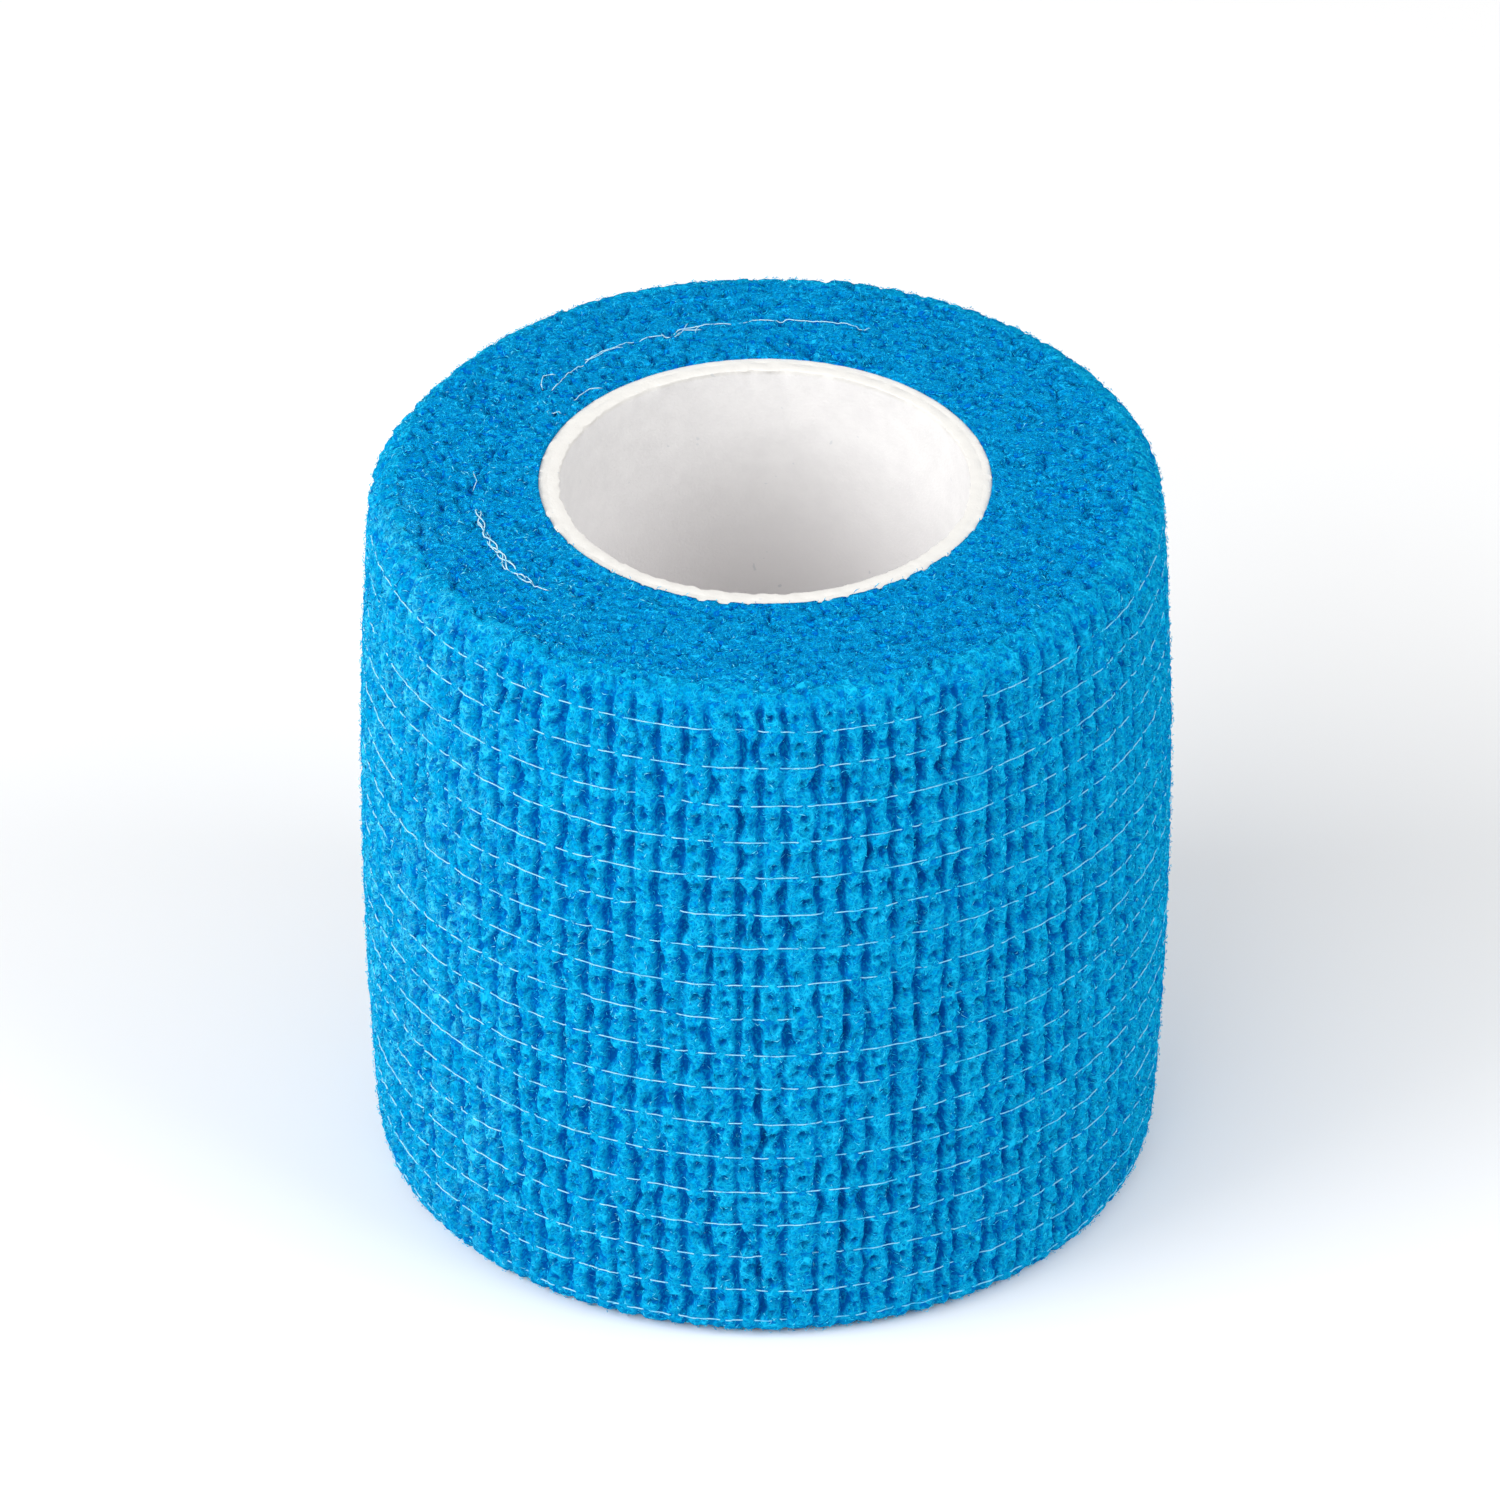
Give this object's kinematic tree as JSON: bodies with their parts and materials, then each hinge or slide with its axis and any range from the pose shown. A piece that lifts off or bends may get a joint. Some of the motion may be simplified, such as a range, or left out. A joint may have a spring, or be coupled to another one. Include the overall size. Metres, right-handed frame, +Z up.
{
  "type": "cohesive bandage roll",
  "caption": "Crinkled elastic bandage wound in a short roll on an open paperboard core, standing on its end.",
  "frame": {"origin": "middle of the foot, the flat end face that the roll stands on, on the core's axis", "axes": "+Z up along the core's axis; the cut outer end of the bandage is on the +Y side, 80 degrees round from +X"},
  "size_m": [0.0527, 0.0526, 0.0503],
  "materials": {
    "crepe_bandage": "matt, fuzzy non-woven crepe with fine white elastic threads",
    "paperboard": "matt white paperboard"
  },
  "bodies": {
    "root": {"bandage_roll": "crepe_bandage", "core_tube": "paperboard"}
  },
  "joints": []
}
